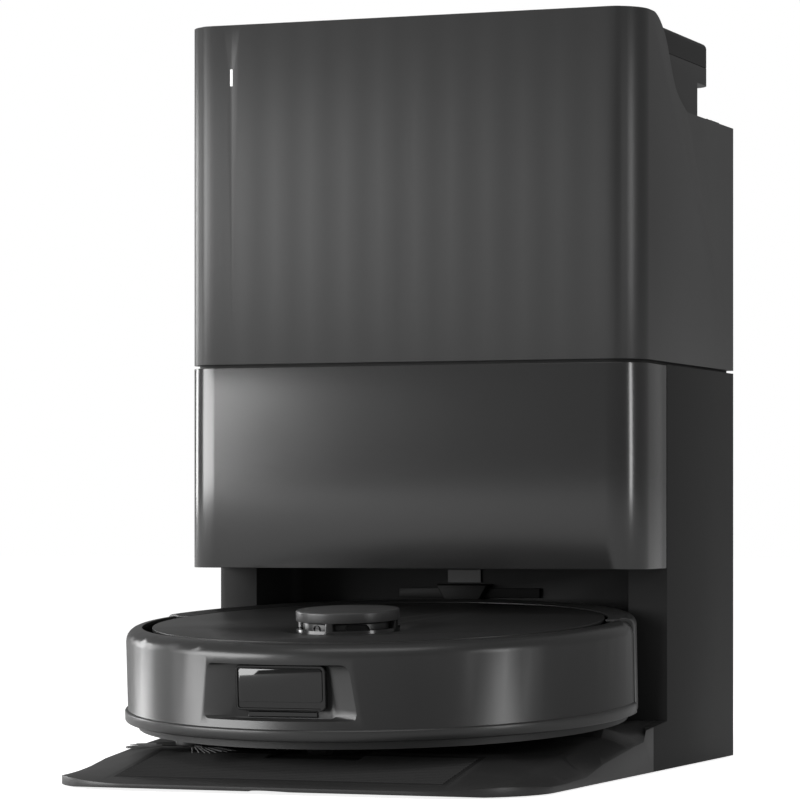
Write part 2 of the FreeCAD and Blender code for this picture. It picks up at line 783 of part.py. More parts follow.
def rounded_outline(corners, radius, steps=4):
    """Points round a convex outline in (x, z) whose corners are rounded."""
    points = []
    count = len(corners)
    for index in range(count):
        here = V(corners[index][0], 0, corners[index][1])
        before = V(corners[index - 1][0], 0, corners[index - 1][1]) - here
        after = V(corners[(index + 1) % count][0], 0, corners[(index + 1) % count][1]) - here
        start = here + before.normalize() * radius
        end = here + after.normalize() * radius
        for step in range(steps + 1):
            part = step / steps
            points.append(start * (1 - part) ** 2 + here * (2 * part * (1 - part)) + end * part ** 2)
    return points


def recess_outline(y):
    """The recess at a given depth: a rounded trapezoid, wider below and further forward."""
    left = recess_shift - recess_half - recess_flare_left * (recess_y - y)
    right = recess_shift + recess_half + recess_flare_right * (recess_y - y)
    corners = [(right, recess_low), (right - recess_taper, recess_high),
               (left + recess_taper, recess_high), (left, recess_low)]
    points = [V(point.x, y, point.z) for point in rounded_outline(corners, recess_corner)]
    return Part.makePolygon(points + [points[0]])


def recess_mouth():
    return Part.makeLoft([recess_outline(-robot_radius - 5), recess_outline(recess_y)], True, True)


def recess_backing(grow, back_y):
    """The block behind the recess, as wide as its mouth in the bumper."""
    reach = recess_half + 30 + grow
    return box(recess_shift - reach, recess_shift + reach, -robot_radius, back_y,
               recess_low - 3.5 - grow, recess_high + 3.5 + grow)


def make_bumper():
    inner = skin_radius - bumper_wall
    outline = [(inner, skirt_z + 1), (skin_radius, skirt_z), (robot_radius - 0.6, skirt_z),
               (robot_radius, skirt_z + 0.8), (robot_radius, strip_top - 0.8),
               (robot_radius - 0.8, strip_top), (skin_radius, strip_top)]
    outline += shoulder(skin_radius, robot_lid_z, bumper_shoulder)
    flange_radius = lid_radius - lid_shift + bumper_travel + 1.0
    outline += [(flange_radius, robot_lid_z), (flange_radius, flange_low), (inner, flange_low)]
    ring = ring_profile(outline, -bumper_half_angle, 2 * bumper_half_angle)
    mouth = recess_mouth()
    inside = cylinder(skin_radius - 0.5, 80, 0, 0, 0)
    backing = recess_backing(0, recess_y + recess_panel).common(inside)
    return ring.fuse(backing).cut(mouth).removeSplitter()


def make_sensor_window():
    y0 = recess_y - 2.0
    glass = box(recess_shift - window_half, recess_shift + window_half, y0, recess_y,
                window_low, window_high)
    return fillet_where(glass, 3, lambda e: is_along(e, Y_AXIS))


def make_rear_shell():
    inner = chassis_radius + 0.2
    start = bumper_half_angle + sector_gap
    outline = [(inner, skirt_z), (skin_radius - 1, skirt_z), (skin_radius, skirt_z + 1)]
    outline += shoulder(skin_radius, robot_lid_z + 1, shell_shoulder)
    lip_radius = lid_radius + 1.0
    outline += [(skin_radius - 8, robot_lid_z + 1), (skin_radius - 10, robot_lid_z),
                (lip_radius, robot_lid_z), (lip_radius, flange_low), (inner, flange_low)]
    return ring_profile(outline, start, 360 - 2 * start)


def make_top_lid():
    lid = cylinder(lid_radius, lid_thickness, 0, lid_shift, flange_low)
    well_radius = lidar_radius + dish_width
    lid = lid.fuse(cylinder(well_radius + 2, dish_depth, 0, lidar_y, robot_lid_z - dish_depth - 1.5))
    dish = Part.makeCone(lidar_hole + 1, well_radius, dish_depth, V(0, lidar_y, robot_lid_z - dish_depth))
    lid = lid.cut(dish)
    lid = lid.cut(cylinder(lidar_hole, 20, 0, lidar_y, flange_low - 10))
    for x in (-button_x, button_x):
        lid = lid.cut(cylinder(button_radius + seat_gap, 20, x, button_y, flange_low - 5))
    return lid


def make_button(x):
    cap = cylinder(button_radius, 6, x, button_y, robot_lid_z + 0.5 - 6)
    return fillet_where(cap, 0.6, lambda e: abs(e.CenterOfMass.z - robot_lid_z - 0.5) < 0.01)


def make_lidar_base():
    cup = cylinder(lidar_radius, 17, 0, lidar_y, bridge_z)
    well = cylinder(lidar_radius - 3.5, 30, 0, lidar_y, bridge_z + 3)
    base = cup.cut(well).fuse(cylinder(3, 8, 0, lidar_y, 64))
    cap_z = lidar_top - lidar_cap_height
    for turn in range(4):
        leg = box(lidar_radius - 3.5, lidar_radius, -2.5, 2.5, 78, cap_z)
        leg.rotate(V(0, 0, 0), Z_AXIS, 90 * turn)
        leg.translate(V(0, lidar_y, 0))
        base = base.fuse(leg.common(cylinder(lidar_radius, 40, 0, lidar_y, 60)))
    return base


def make_lidar_cap():
    cap_z = lidar_top - lidar_cap_height
    cap = cylinder(lidar_radius, lidar_cap_height, 0, lidar_y, cap_z)
    return fillet_where(cap, 1.2, lambda e: abs(e.CenterOfMass.z - lidar_top) < 0.01)


def make_lidar_rotor():
    drum = cylinder(lidar_radius - 4.5, 4, 0, lidar_y, 66)
    tower = cylinder(22, 13, 0, lidar_y, 70)
    window = box(-16, 16, lidar_y - 30, lidar_y - 17, 74, 81)
    bore = cylinder(pin_radius + running, 10, 0, lidar_y, 65)
    return drum.fuse(tower).cut(window).cut(bore)


def arm_bracket(side):
    """Two upright ears that hold the pin of a wheel arm."""
    floor_z = chassis_bottom + chassis_floor
    ears = []
    for x0, x1 in ((79.0, 83.6), (97.4, 102.0)):
        ear = box(x0, x1, arm_pivot_y - 8, arm_pivot_y + 8, floor_z - 1, 50)
        ears.append(ear if side > 0 else mirrored(ear))
    return ears


def make_robot_chassis():
    floor_z = chassis_bottom + chassis_floor
    pan = cylinder(chassis_radius, chassis_top - chassis_bottom, 0, 0, chassis_bottom)
    pan = pan.cut(cylinder(chassis_radius - 2.5, 100, 0, 0, floor_z))
    ring = tube(149, 146, flange_low - floor_z + 1, 0, 0, floor_z - 1)
    pocket = cylinder(caster_pocket + 3, 36, 0, caster_y, chassis_bottom)
    bridge = box(-149, 149, lidar_y - 20, lidar_y + 20, bridge_z - 3, bridge_z)
    bridge = bridge.common(cylinder(149, 100, 0, 0, 0))
    parts = [pan, ring, pocket, bridge]
    for side in (-1, 1):
        parts += arm_bracket(side)
        x0 = brush_half + 3.5
        block = box(x0, x0 + 5.2, brush_y - 6, brush_y + 6, floor_z - 1, 30)
        parts.append(block if side > 0 else mirrored(block))
        parts.append(cylinder(8, 30 - floor_z + 1, side * mop_x, mop_y, floor_z - 1))
    chassis = fuse_all(parts)
    cuts = [cylinder(caster_pocket, 21.8, 0, caster_y, chassis_bottom - 1),
            cylinder(5 + running, 60, 0, caster_y, chassis_bottom),
            box(-brush_half - 3, brush_half + 3, brush_y - 24, brush_y + 24, 0, floor_z + 1),
            cylinder(pin_radius + running, 180, -90, brush_y, brush_z, X_AXIS),
            cylinder(pin_radius + running, 240, -120, arm_pivot_y, arm_pivot_z, X_AXIS),
            cylinder(pin_radius + running, 20, side_brush_x, side_brush_y, 0),
            cylinder(11.3, 100, side_brush_x, side_brush_y, floor_z),
            recess_backing(2.5, recess_y + recess_panel + bumper_travel + 0.8)]
    for side in (-1, 1):
        cuts.append(cylinder(4 + running, 60, side * mop_x, mop_y, 0))
        half = wheel_width / 2 + 3
        middle = side * wheel_x
        cuts.append(box(middle - half, middle + half, wheel_y - 40, wheel_y + 40, 0, floor_z + 0.01))
    return chassis.cut(Part.makeCompound(cuts)).removeSplitter()


def make_swing_arm(side):
    x0 = 84.0
    x1 = 97.0
    beam = box(x0, x1, arm_pivot_y - 7, wheel_y + 8, wheel_radius - 8, wheel_radius + 11)
    pin = cylinder(pin_radius, 22.6, 79.2, arm_pivot_y, arm_pivot_z, X_AXIS)
    hub = cylinder(9, wheel_x - wheel_width / 2 - 0.3 - x1, x1, wheel_y, wheel_radius, X_AXIS)
    axle = cylinder(pin_radius, wheel_x + wheel_width / 2 - x1, x1, wheel_y, wheel_radius, X_AXIS)
    arm = fuse_all([beam, pin, hub, axle])
    return arm if side > 0 else mirrored(arm)


def make_wheel(side):
    x0 = wheel_x - wheel_width / 2
    body = cylinder(wheel_radius - 2.2, wheel_width, x0, wheel_y, wheel_radius, X_AXIS)
    treads = []
    for turn in range(24):
        bar = box(x0 + 0.5, x0 + wheel_width - 0.5, -2.2, 2.2, wheel_radius - 6, wheel_radius - 0.1)
        bar.rotate(V(0, 0, 0), X_AXIS, 15 * turn)
        bar.translate(V(0, wheel_y, wheel_radius))
        treads.append(bar)
    wheel = body.multiFuse(treads)
    rim = tube(24, 11, 4, x0 + wheel_width - 4, wheel_y, wheel_radius, X_AXIS)
    wheel = wheel.cut(rim)
    bore = cylinder(pin_radius + running, wheel_width + 2, x0 - 1, wheel_y, wheel_radius, X_AXIS)
    wheel = wheel.cut(bore)
    return wheel if side > 0 else mirrored(wheel)


def make_caster_fork():
    wheel_at = caster_y + caster_trail
    stem = cylinder(5, 14, 0, caster_y, 30)
    crown = cylinder(15, 2.4, 0, caster_y, 28.1)
    fork = stem.fuse(crown)
    half = caster_width / 2 + 0.5
    for x0 in (-half - 2, half):
        cheek = box(x0, x0 + 2, wheel_at - 5, wheel_at + 5, 9, 29)
        fork = fork.fuse(cheek)
    axle = cylinder(2, caster_width + 2, -half, wheel_at, caster_radius, X_AXIS)
    return fork.fuse(axle).removeSplitter()


def make_caster_wheel():
    wheel_at = caster_y + caster_trail
    wheel = cylinder(caster_radius, caster_width, -caster_width / 2, wheel_at, caster_radius, X_AXIS)
    wheel = wheel.makeFillet(2, [e for e in wheel.Edges if e.Curve.TypeId == "Part::GeomCircle"])
    return wheel.cut(cylinder(2 + running, 40, -20, wheel_at, caster_radius, X_AXIS))


def make_main_brush():
    core = cylinder(9, 2 * brush_half, -brush_half, brush_y, brush_z, X_AXIS)
    axle = cylinder(pin_radius, 2 * brush_half + 17, -brush_half - 8.5, brush_y, brush_z, X_AXIS)
    fins = []
    for turn in range(6):
        fin = box(-brush_half, brush_half, -1.2, 1.2, 7, brush_radius)
        fin.rotate(V(0, 0, 0), X_AXIS, 60 * turn)
        fin.translate(V(0, brush_y, brush_z))
        fins.append(fin)
    return fuse_all([core, axle] + fins)


def make_brush_cover():
    z0 = chassis_bottom - 2
    frame = rounded_box(-brush_half - 12, brush_half + 12, brush_y - 32, brush_y + 30,
                        z0, chassis_bottom, 5)
    mouth = rounded_box(-brush_half - 2, brush_half + 2, brush_y - 22, brush_y + 22, z0 - 1,
                        chassis_bottom + 1, 4)
    cover = frame.cut(mouth)
    for side in (-1, 1):
        half = wheel_width / 2 + 3
        x0 = wheel_x - half if side > 0 else -wheel_x - half
        cover = cover.cut(box(x0, x0 + 2 * half, wheel_y - 40, wheel_y + 40, 0, 20))
    return cover


def make_side_brush():
    hub = cylinder(11, 3.6, side_brush_x, side_brush_y, 6)
    shaft = cylinder(pin_radius, 4, side_brush_x, side_brush_y, 8.8)
    arms = []
    for turn in range(3):
        arm = box(8, side_brush_reach, -1.6, 1.6, 5.2, 7.2)
        arm.rotate(V(0, 0, 0), Z_AXIS, 120 * turn - 45)
        arm.translate(V(side_brush_x, side_brush_y, 0))
        arms.append(arm)
    return fuse_all([hub, shaft] + arms)


def make_mop_disc(side):
    low = mop_low + mop_thick
    disc = cylinder(mop_disc_radius, mop_plate_z - low, side * mop_x, mop_y, low)
    shaft = cylinder(4, 29 - mop_plate_z + 1, side * mop_x, mop_y, mop_plate_z - 1)
    return disc.fuse(shaft)


def make_mop_pad(side):
    pad = cylinder(mop_radius, mop_thick, side * mop_x, mop_y, mop_low)
    return pad.makeFillet(1.6, [e for e in pad.Edges if e.Curve.TypeId == "Part::GeomCircle"])


def make_dustbin():
    floor_z = chassis_bottom + chassis_floor
    bin_box = rounded_box(-58, 58, bin_front_y, 34, floor_z, 70, 6)
    inside = rounded_box(-56, 56, bin_front_y + 2, 32, floor_z + 2, 68, 5)
    mouth = box(-40, 40, bin_front_y - 2, bin_front_y + 4, floor_z + 12, floor_z + 32)
    return bin_box.cut(inside).cut(mouth)


def make_robot_fan():
    floor_z = chassis_bottom + chassis_floor
    drum = cylinder(26, 44, 0, 64, floor_z)
    return drum.makeFillet(2, drum.Edges)


def make_robot_battery():
    floor_z = chassis_bottom + chassis_floor
    return rounded_box(-50, 50, 98, 132, floor_z, floor_z + 40, 4)


def make_robot_board():
    top = chassis_bottom + chassis_floor + 40
    board = box(-48, 48, 100, 130, top + 5, top + 6.6)
    pegs = [cylinder(2.5, 5, x, y, top) for x in (-42, 42) for y in (105, 125)]
    return board.multiFuse(pegs + [box(-14, 14, 106, 124, top + 6.6, top + 9)])


def make_robot_motors():
    floor_z = chassis_bottom + chassis_floor
    motors = [cylinder(15, 22, side * mop_x, mop_y, 30) for side in (-1, 1)]
    motors.append(cylinder(11, 30, side_brush_x, side_brush_y, floor_z))
    return Part.makeCompound(motors)


# ---------------------------------------------------------------- output

def main():
    os.makedirs("parts", exist_ok=True)
    save("base_tray", make_base_tray())
    save("ramp_pad", make_ramp_pad())
    save("wash_tray", make_wash_tray())
    save("rubber_feet", make_rubber_feet())
    save("lower_housing", make_lower_housing())
    save("upper_housing", make_upper_housing())
    save("status_light", make_status_light())
    save("rear_deck", make_rear_deck())
    save("front_cover", make_front_cover())
    save("dust_port", make_dust_port())
    save("ir_window", make_ir_window())
    save("side_guides", make_side_guides())
    save("charge_contact_left", make_charge_contact(-contact_x))
    save("charge_contact_right", make_charge_contact(contact_x))
    save("bag_collar", make_bag_collar())
    save("dust_bag", make_dust_bag())
    save("dust_duct", make_dust_duct())
    save("fan_housing", make_fan_housing())
    save("fan_rotor", make_fan_rotor())
    save("clean_pump", make_pump(-120.0))
    save("dirty_pump", make_pump(120.0))
    save("power_supply", make_power_supply())
    save("main_board", make_main_board())
    save("power_inlet", make_power_inlet())
    save("housing_screws", make_housing_screws())
    tank = make_tank()
    lid = make_tank_lid()
    handle = make_tank_handle()
    save("clean_tank", tank)
    save("clean_tank_lid", lid)
    save("clean_tank_handle", handle)
    save("dirty_tank", mirrored(tank))
    save("dirty_tank_lid", mirrored(lid))
    save("dirty_tank_handle", mirrored(handle))
    save("robot_chassis", park(make_robot_chassis()))
    save("bumper", park(make_bumper()))
    save("sensor_window", park(make_sensor_window()))
    save("rear_shell", park(make_rear_shell()))
    save("top_lid", park(make_top_lid()))
    save("power_button", park(make_button(-button_x)))
    save("home_button", park(make_button(button_x)))
    save("lidar_base", park(make_lidar_base()))
    save("lidar_cap", park(make_lidar_cap()))
    save("lidar_rotor", park(make_lidar_rotor()))
    for word, side in (("left", -1), ("right", 1)):
        save("swing_arm_" + word, park(make_swing_arm(side)))
        save("wheel_" + word, park(make_wheel(side)))
        save("mop_disc_" + word, park(make_mop_disc(side)))
        save("mop_pad_" + word, park(make_mop_pad(side)))
    save("caster_fork", park(make_caster_fork()))
    save("caster_wheel", park(make_caster_wheel()))
    save("main_brush", park(make_main_brush()))
    save("brush_cover", park(make_brush_cover()))
    save("side_brush", park(make_side_brush()))
    save("dustbin", park(make_dustbin()))
    save("robot_fan", park(make_robot_fan()))
    save("robot_battery", park(make_robot_battery()))
    save("robot_board", park(make_robot_board()))
    save("robot_motors", park(make_robot_motors()))


main()
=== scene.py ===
# %% [markdown]
# A robot vacuum parked in its station, finished from its construction model.
# The frame holds every part at its real size and place, in metres. This lesson only
# adds what construction models leave out: soft edges, finishes, cloth, bristles,
# lenses and light.

# %% Load the frame
import bpy
import json
import math
import random
from mathutils import Matrix, Vector


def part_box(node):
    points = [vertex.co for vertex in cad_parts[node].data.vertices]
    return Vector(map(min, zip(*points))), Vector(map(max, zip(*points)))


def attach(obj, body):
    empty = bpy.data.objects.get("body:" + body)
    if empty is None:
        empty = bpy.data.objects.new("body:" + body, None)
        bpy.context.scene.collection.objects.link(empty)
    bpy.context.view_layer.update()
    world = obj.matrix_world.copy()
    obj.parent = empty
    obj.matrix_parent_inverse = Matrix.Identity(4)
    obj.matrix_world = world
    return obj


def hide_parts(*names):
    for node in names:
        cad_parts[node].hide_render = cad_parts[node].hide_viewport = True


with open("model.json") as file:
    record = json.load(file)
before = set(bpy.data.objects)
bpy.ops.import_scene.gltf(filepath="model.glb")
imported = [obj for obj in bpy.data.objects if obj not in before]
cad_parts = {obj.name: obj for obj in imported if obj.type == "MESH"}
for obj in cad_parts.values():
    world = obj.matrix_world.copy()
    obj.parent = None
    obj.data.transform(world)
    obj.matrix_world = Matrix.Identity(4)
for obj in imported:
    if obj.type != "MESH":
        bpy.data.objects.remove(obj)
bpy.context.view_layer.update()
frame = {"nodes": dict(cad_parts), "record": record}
nodes = frame["nodes"]
mm = 0.001
print("parts in the frame:", len(nodes))


# %% Helpers for working on one object at a time
def only(obj):
    """Leave just this object selected and active."""
    if bpy.context.object and bpy.context.object.mode != "OBJECT":
        bpy.ops.object.mode_set(mode="OBJECT")
    bpy.ops.object.select_all(action="DESELECT")
    obj.select_set(True)
    bpy.context.view_layer.objects.active = obj


def clear_selection():
    if bpy.context.object and bpy.context.object.mode != "OBJECT":
        bpy.ops.object.mode_set(mode="OBJECT")
    bpy.ops.object.select_all(action="DESELECT")


def settle(obj, name):
    """Name a finished piece and put its place into its mesh."""
    only(obj)
    bpy.ops.object.transform_apply(location=True, rotation=True, scale=True)
    obj.name = name
    obj.data.name = name
    return obj


def apply_modifiers(obj):
    only(obj)
    for modifier in list(obj.modifiers):
        bpy.ops.object.modifier_apply(modifier=modifier.name)


def smooth(obj, degrees=32):
    only(obj)
    bpy.ops.object.shade_smooth_by_angle(angle=math.radians(degrees))


def joined(pieces, name):
    clear_selection()
    for piece in pieces:
        piece.select_set(True)
    bpy.context.view_layer.objects.active = pieces[0]
    bpy.ops.object.join()
    return settle(pieces[0], name)


# %% [markdown]
# The robot sits nose down on the ramp, so anything added to it is built level, in the
# robot's own frame, and then leaned the same way. The lean is given as 3.6 degrees;
# the slope across the flat lid's box is printed beside it.

# %% The robot's own frame
lid_low, lid_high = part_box("top_lid")
lid_depth = lid_high.y - lid_low.y
lid_rise = lid_high.z - lid_low.z
lean = math.radians(3.6)
robot_place = Vector((0, -35 * mm, 26.9 * mm))
park_matrix = Matrix.Translation(robot_place) @ Matrix.Rotation(lean, 4, "X")


def park(obj):
    """Lean a finished level piece on to the ramp."""
    obj.data.transform(park_matrix)
    obj.data.update()
    return obj


print("lid slope in degrees:", round(math.degrees(math.atan2(lid_rise, lid_depth)), 2))

# %% [markdown]
# The camera stands low and far away with a long lens, so the upright edges stay
# upright. It looks level; the lens shift, not a tilt, brings the tower into view.

# %% Camera
view_turn = math.radians(20.78)
camera_data = bpy.data.cameras.new("camera")
camera_data.lens = 169.5
camera_data.sensor_width = 36
camera_data.shift_y = 0.1544
camera = bpy.data.objects.new("camera", camera_data)
bpy.context.collection.objects.link(camera)
camera.location = (0.9191, -2.4259, 0.1706)
camera.rotation_euler = (math.radians(90), 0, view_turn)
camera_data.clip_end = 60
bpy.context.scene.camera = camera
bpy.context.scene.view_settings.view_transform = "Standard"
print("camera at", [round(value, 3) for value in camera.location])

# %% [markdown]
# Dark plastic shows its shape by what it mirrors. A large soft window on the left
# lights the front, a weak fill keeps the right side readable, and a slim strip draws
# the bright line down each rounded corner.


# %% Studio
def area_light(name, place, target, width, height, power):
    data = bpy.data.lights.new(name, "AREA")
    data.shape = "RECTANGLE"
    data.size = width
    data.size_y = height
    data.energy = power
    lamp = bpy.data.objects.new(name, data)
    bpy.context.collection.objects.link(lamp)
    lamp.location = place
    aim = Vector(target) - Vector(place)
    lamp.rotation_euler = aim.to_track_quat("-Z", "Y").to_euler()
    return lamp


def ray_mask(tree, glossy_part):
    """One where the camera looks straight or through glass, less in reflections."""
    path = tree.nodes.new("ShaderNodeLightPath")
    weaker = tree.nodes.new("ShaderNodeMath")
    weaker.operation = "MULTIPLY"
    weaker.inputs[1].default_value = glossy_part
    tree.links.new(path.outputs["Is Glossy Ray"], weaker.inputs[0])
    direct = tree.nodes.new("ShaderNodeMath")
    direct.operation = "MAXIMUM"
    tree.links.new(path.outputs["Is Camera Ray"], direct.inputs[0])
    tree.links.new(path.outputs["Is Transmission Ray"], direct.inputs[1])
    both = tree.nodes.new("ShaderNodeMath")
    both.operation = "MAXIMUM"
    tree.links.new(direct.outputs[0], both.inputs[0])
    tree.links.new(weaker.outputs[0], both.inputs[1])
    return both.outputs[0]


def make_world(ambient, glossy_part):
    world = bpy.data.worlds.new("studio")
    bpy.context.scene.world = world
    world.use_nodes = True
    tree = world.node_tree
    tree.nodes.clear()
    seen = ray_mask(tree, glossy_part)
    level = tree.nodes.new("ShaderNodeMath")
    level.operation = "MAXIMUM"
    level.inputs[1].default_value = ambient
    tree.links.new(seen, level.inputs[0])
    ground = tree.nodes.new("ShaderNodeBackground")
    ground.inputs["Color"].default_value = (1, 1, 1, 1)
    tree.links.new(level.outputs[0], ground.inputs["Strength"])
    output = tree.nodes.new("ShaderNodeOutputWorld")
    tree.links.new(ground.outputs[0], output.inputs["Surface"])


def make_floor(glow, glossy_part):
    """A pale floor that keeps the shadow and glows a little where it is looked at."""
    clear_selection()
    bpy.ops.mesh.primitive_plane_add(size=30, location=(0, 0, -0.0003))
    floor = bpy.context.object
    floor.name = "floor"
    paint = bpy.data.materials.new("floor_white")
    paint.use_nodes = True
    tree = paint.node_tree
    shader = tree.nodes["Principled BSDF"]
    shader.inputs["Base Color"].default_value = (0.8, 0.8, 0.8, 1)
    shader.inputs["Roughness"].default_value = 0.9
    shader.inputs["Specular IOR Level"].default_value = 0.0
    shader.inputs["Emission Color"].default_value = (1, 1, 1, 1)
    strength = tree.nodes.new("ShaderNodeMath")
    strength.operation = "MULTIPLY"
    strength.inputs[1].default_value = glow
    tree.links.new(ray_mask(tree, glossy_part), strength.inputs[0])
    tree.links.new(strength.outputs[0], shader.inputs["Emission Strength"])
    floor.data.materials.append(paint)


make_world(ambient=0.25, glossy_part=0.10)
make_floor(glow=0.86, glossy_part=0.12)
area_light("softbox_left", (-1.90, -1.48, 0.5), (0, 0, 0.25), 1.9, 1.4, 80)
area_light("overhead", (0.1, -0.9, 2.4), (0, 0, 0.2), 1.6, 1.0, 10)
area_light("rim_left", (-2.0, 0.7, 0.45), (-0.1, -0.05, 0.1), 0.5, 0.8, 10)
area_light("strip_right", (1.65, -0.55, 0.45), (0.168, 0.03, 0.3), 0.22, 1.2, 9.0)

# %% [markdown]
# Moulded plastic is never one flat value. Three effects are shared by the finishes:
# a fine spark-eroded grain, a slow cloudiness of the gloss left by handling, and dust
# that settles on what faces up. Each is a node group that gives out only values; the
# surface shader stays in the material.


# %% Shared effects
def new_group(name, inputs, outputs):
    group = bpy.data.node_groups.new(name, "ShaderNodeTree")
    for label, value in inputs:
        socket = group.interface.new_socket(label, in_out="INPUT", socket_type="NodeSocketFloat")
        socket.default_value = value
    for label in outputs:
        group.interface.new_socket(label, in_out="OUTPUT", socket_type="NodeSocketFloat")
    start = group.nodes.new("NodeGroupInput")
    end = group.nodes.new("NodeGroupOutput")
    return group, start, end


def add_noise(group, start, scale_socket, detail):
    place = group.nodes.new("ShaderNodeTexCoord")
    noise = group.nodes.new("ShaderNodeTexNoise")
    noise.inputs["Detail"].default_value = detail
    group.links.new(place.outputs["Object"], noise.inputs["Vector"])
    group.links.new(start.outputs[scale_socket], noise.inputs["Scale"])
    return noise


def scaled(group, value, factor):
    times = group.nodes.new("ShaderNodeMath")
    times.operation = "MULTIPLY"
    group.links.new(value, times.inputs[0])
    group.links.new(factor, times.inputs[1])
    return times.outputs[0]


def make_grain():
    group, start, end = new_group("mould_grain", [("Scale", 2200.0), ("Depth", 1.0)], ["Height"])
    noise = add_noise(group, start, "Scale", 3.0)
    group.links.new(scaled(group, noise.outputs["Fac"], start.outputs["Depth"]),
                    end.inputs["Height"])
    return group


def make_cloud():
    """Gloss that wanders a little around its middle value."""
    sockets = [("Scale", 14.0), ("Middle", 0.4), ("Spread", 0.1)]
    group, start, end = new_group("handled_gloss", sockets, ["Roughness"])
    noise = add_noise(group, start, "Scale", 5.0)
    centred = group.nodes.new("ShaderNodeMath")
    centred.operation = "SUBTRACT"
    centred.inputs[1].default_value = 0.5
    group.links.new(noise.outputs["Fac"], centred.inputs[0])
    swing = scaled(group, centred.outputs[0], start.outputs["Spread"])
    total = group.nodes.new("ShaderNodeMath")
    total.operation = "ADD"
    group.links.new(swing, total.inputs[0])
    group.links.new(start.outputs["Middle"], total.inputs[1])
    group.links.new(total.outputs[0], end.inputs["Roughness"])
    return group


def make_dust():
    """A mask of fine specks on faces that look up."""
    sockets = [("Scale", 900.0), ("Amount", 0.1)]
    group, start, end = new_group("settled_dust", sockets, ["Mask"])
    noise = add_noise(group, start, "Scale", 2.0)
    facing = group.nodes.new("ShaderNodeNewGeometry")
    split = group.nodes.new("ShaderNodeSeparateXYZ")
    group.links.new(facing.outputs["Normal"], split.inputs[0])
    up = group.nodes.new("ShaderNodeMapRange")
    up.inputs["From Min"].default_value = 0.5
    up.inputs["From Max"].default_value = 1.0
    group.links.new(split.outputs["Z"], up.inputs["Value"])
    specks = group.nodes.new("ShaderNodeMapRange")
    specks.inputs["From Min"].default_value = 0.55
    specks.inputs["From Max"].default_value = 0.75
    group.links.new(noise.outputs["Fac"], specks.inputs["Value"])
    both = scaled(group, up.outputs[0], specks.outputs[0])
    group.links.new(scaled(group, both, start.outputs["Amount"]), end.inputs["Mask"])
    return group


mould_grain = make_grain()
handled_gloss = make_cloud()
settled_dust = make_dust()
print("shared effects:", [group.name for group in bpy.data.node_groups])

# %% [markdown]
# One recipe serves all the hard plastics. It takes the colour as a screen value, turns
# it to light, mixes in dust, lets the gloss wander and adds the mould's grain as a
# tiny bump. Glossy parts take a finer, shallower grain than the leathery shell.


# %% Plastic recipe
def light_value(screen):
    """Screen value 0-255 to the linear value that a shader wants."""
    part = screen / 255
    return part / 12.92 if part <= 0.04045 else ((part + 0.055) / 1.055) ** 2.4


def grey(screen, warm=0.0):
    value = light_value(screen)
    return (value * (1 + warm), value, value * (1 - warm), 1)


def group_node(tree, group, **values):
    node = tree.nodes.new("ShaderNodeGroup")
    node.node_tree = group
    for label, value in values.items():
        node.inputs[label].default_value = value
    return node


def plastic(name, colour, gloss=0.4, spread=0.1, grain=0.5, grain_scale=2200.0, dust=0.05,
            specular=0.35, coat=0.0):
    material = bpy.data.materials.new(name)
    material.use_nodes = True
    tree = material.node_tree
    shader = tree.nodes["Principled BSDF"]
    shader.inputs["Specular IOR Level"].default_value = specular
    shader.inputs["Coat Weight"].default_value = coat
    shader.inputs["Coat Roughness"].default_value = 0.08
    cloud = group_node(tree, handled_gloss, Scale=14.0, Middle=gloss, Spread=spread)
    tree.links.new(cloud.outputs["Roughness"], shader.inputs["Roughness"])
    specks = group_node(tree, settled_dust, Scale=900.0, Amount=dust)
    mix = tree.nodes.new("ShaderNodeMix")
    mix.data_type = "RGBA"
    mix.inputs["A"].default_value = colour
    mix.inputs["B"].default_value = (0.25, 0.24, 0.22, 1)
    tree.links.new(specks.outputs["Mask"], mix.inputs["Factor"])
    tree.links.new(mix.outputs["Result"], shader.inputs["Base Color"])
    pits = group_node(tree, mould_grain, Scale=grain_scale, Depth=1.0)
    bump = tree.nodes.new("ShaderNodeBump")
    bump.inputs["Strength"].default_value = grain
    bump.inputs["Distance"].default_value = 0.00006
    tree.links.new(pits.outputs["Height"], bump.inputs["Height"])
    tree.links.new(bump.outputs["Normal"], shader.inputs["Normal"])
    return material


finish = {
    "shell": plastic("shell_grained", grey(0x2a), 0.36, 0.05, 0.4, 1800.0, specular=0.4),
    "cover": plastic("cover_satin", grey(0x20), 0.2, 0.03, 0.12, 2600.0, specular=0.7),
    "side": plastic("side_grained", grey(0x2a), 0.5, 0.06, 0.6, 1500.0, specular=0.12),
    "base": plastic("base_grained", grey(0x2c), 0.40, 0.08, 0.5, 1300.0, dust=0.10, specular=0.35),
    "dark": plastic("inside_dark", grey(0x1e), 0.5, 0.08, 0.5, 1500.0, specular=0.15),
    "bumper": plastic("bumper_satin", grey(0x2a), 0.30, 0.05, 0.12, 2600.0, specular=0.45),
    "lid": plastic("lid_satin", grey(0x28), 0.36, 0.08, 0.1, 2600.0, dust=0.05, specular=0.25),
    "cap": plastic("turret_cap_satin", grey(0x38), 0.34, 0.05, 0.1, 2600.0, specular=0.45),
    "turret": plastic("turret_gloss", grey(0x1c), 0.16, 0.04, 0.05, 3000.0, specular=0.4),
    "tank": plastic("tank_tinted", grey(0x1e), 0.34, 0.05, 0.1, 2600.0, specular=0.2),
    "tank_lid": plastic("tank_lid_grained", grey(0x22), 0.45, 0.08, 0.5, 1600.0, dust=0.06,
                        specular=0.15),
    "deck": plastic("deck_grained", grey(0x26), 0.5, 0.08, 0.5, 1500.0, dust=0.12, specular=0.2),
    "inner": plastic("inner_black", grey(0x24), 0.45, 0.1, 0.4, 1500.0),
    "rubber": plastic("soft_rubber", grey(0x1c), 0.6, 0.08, 0.8, 900.0, dust=0.10, specular=0.25),
}
print("plastic finishes:", len(finish))

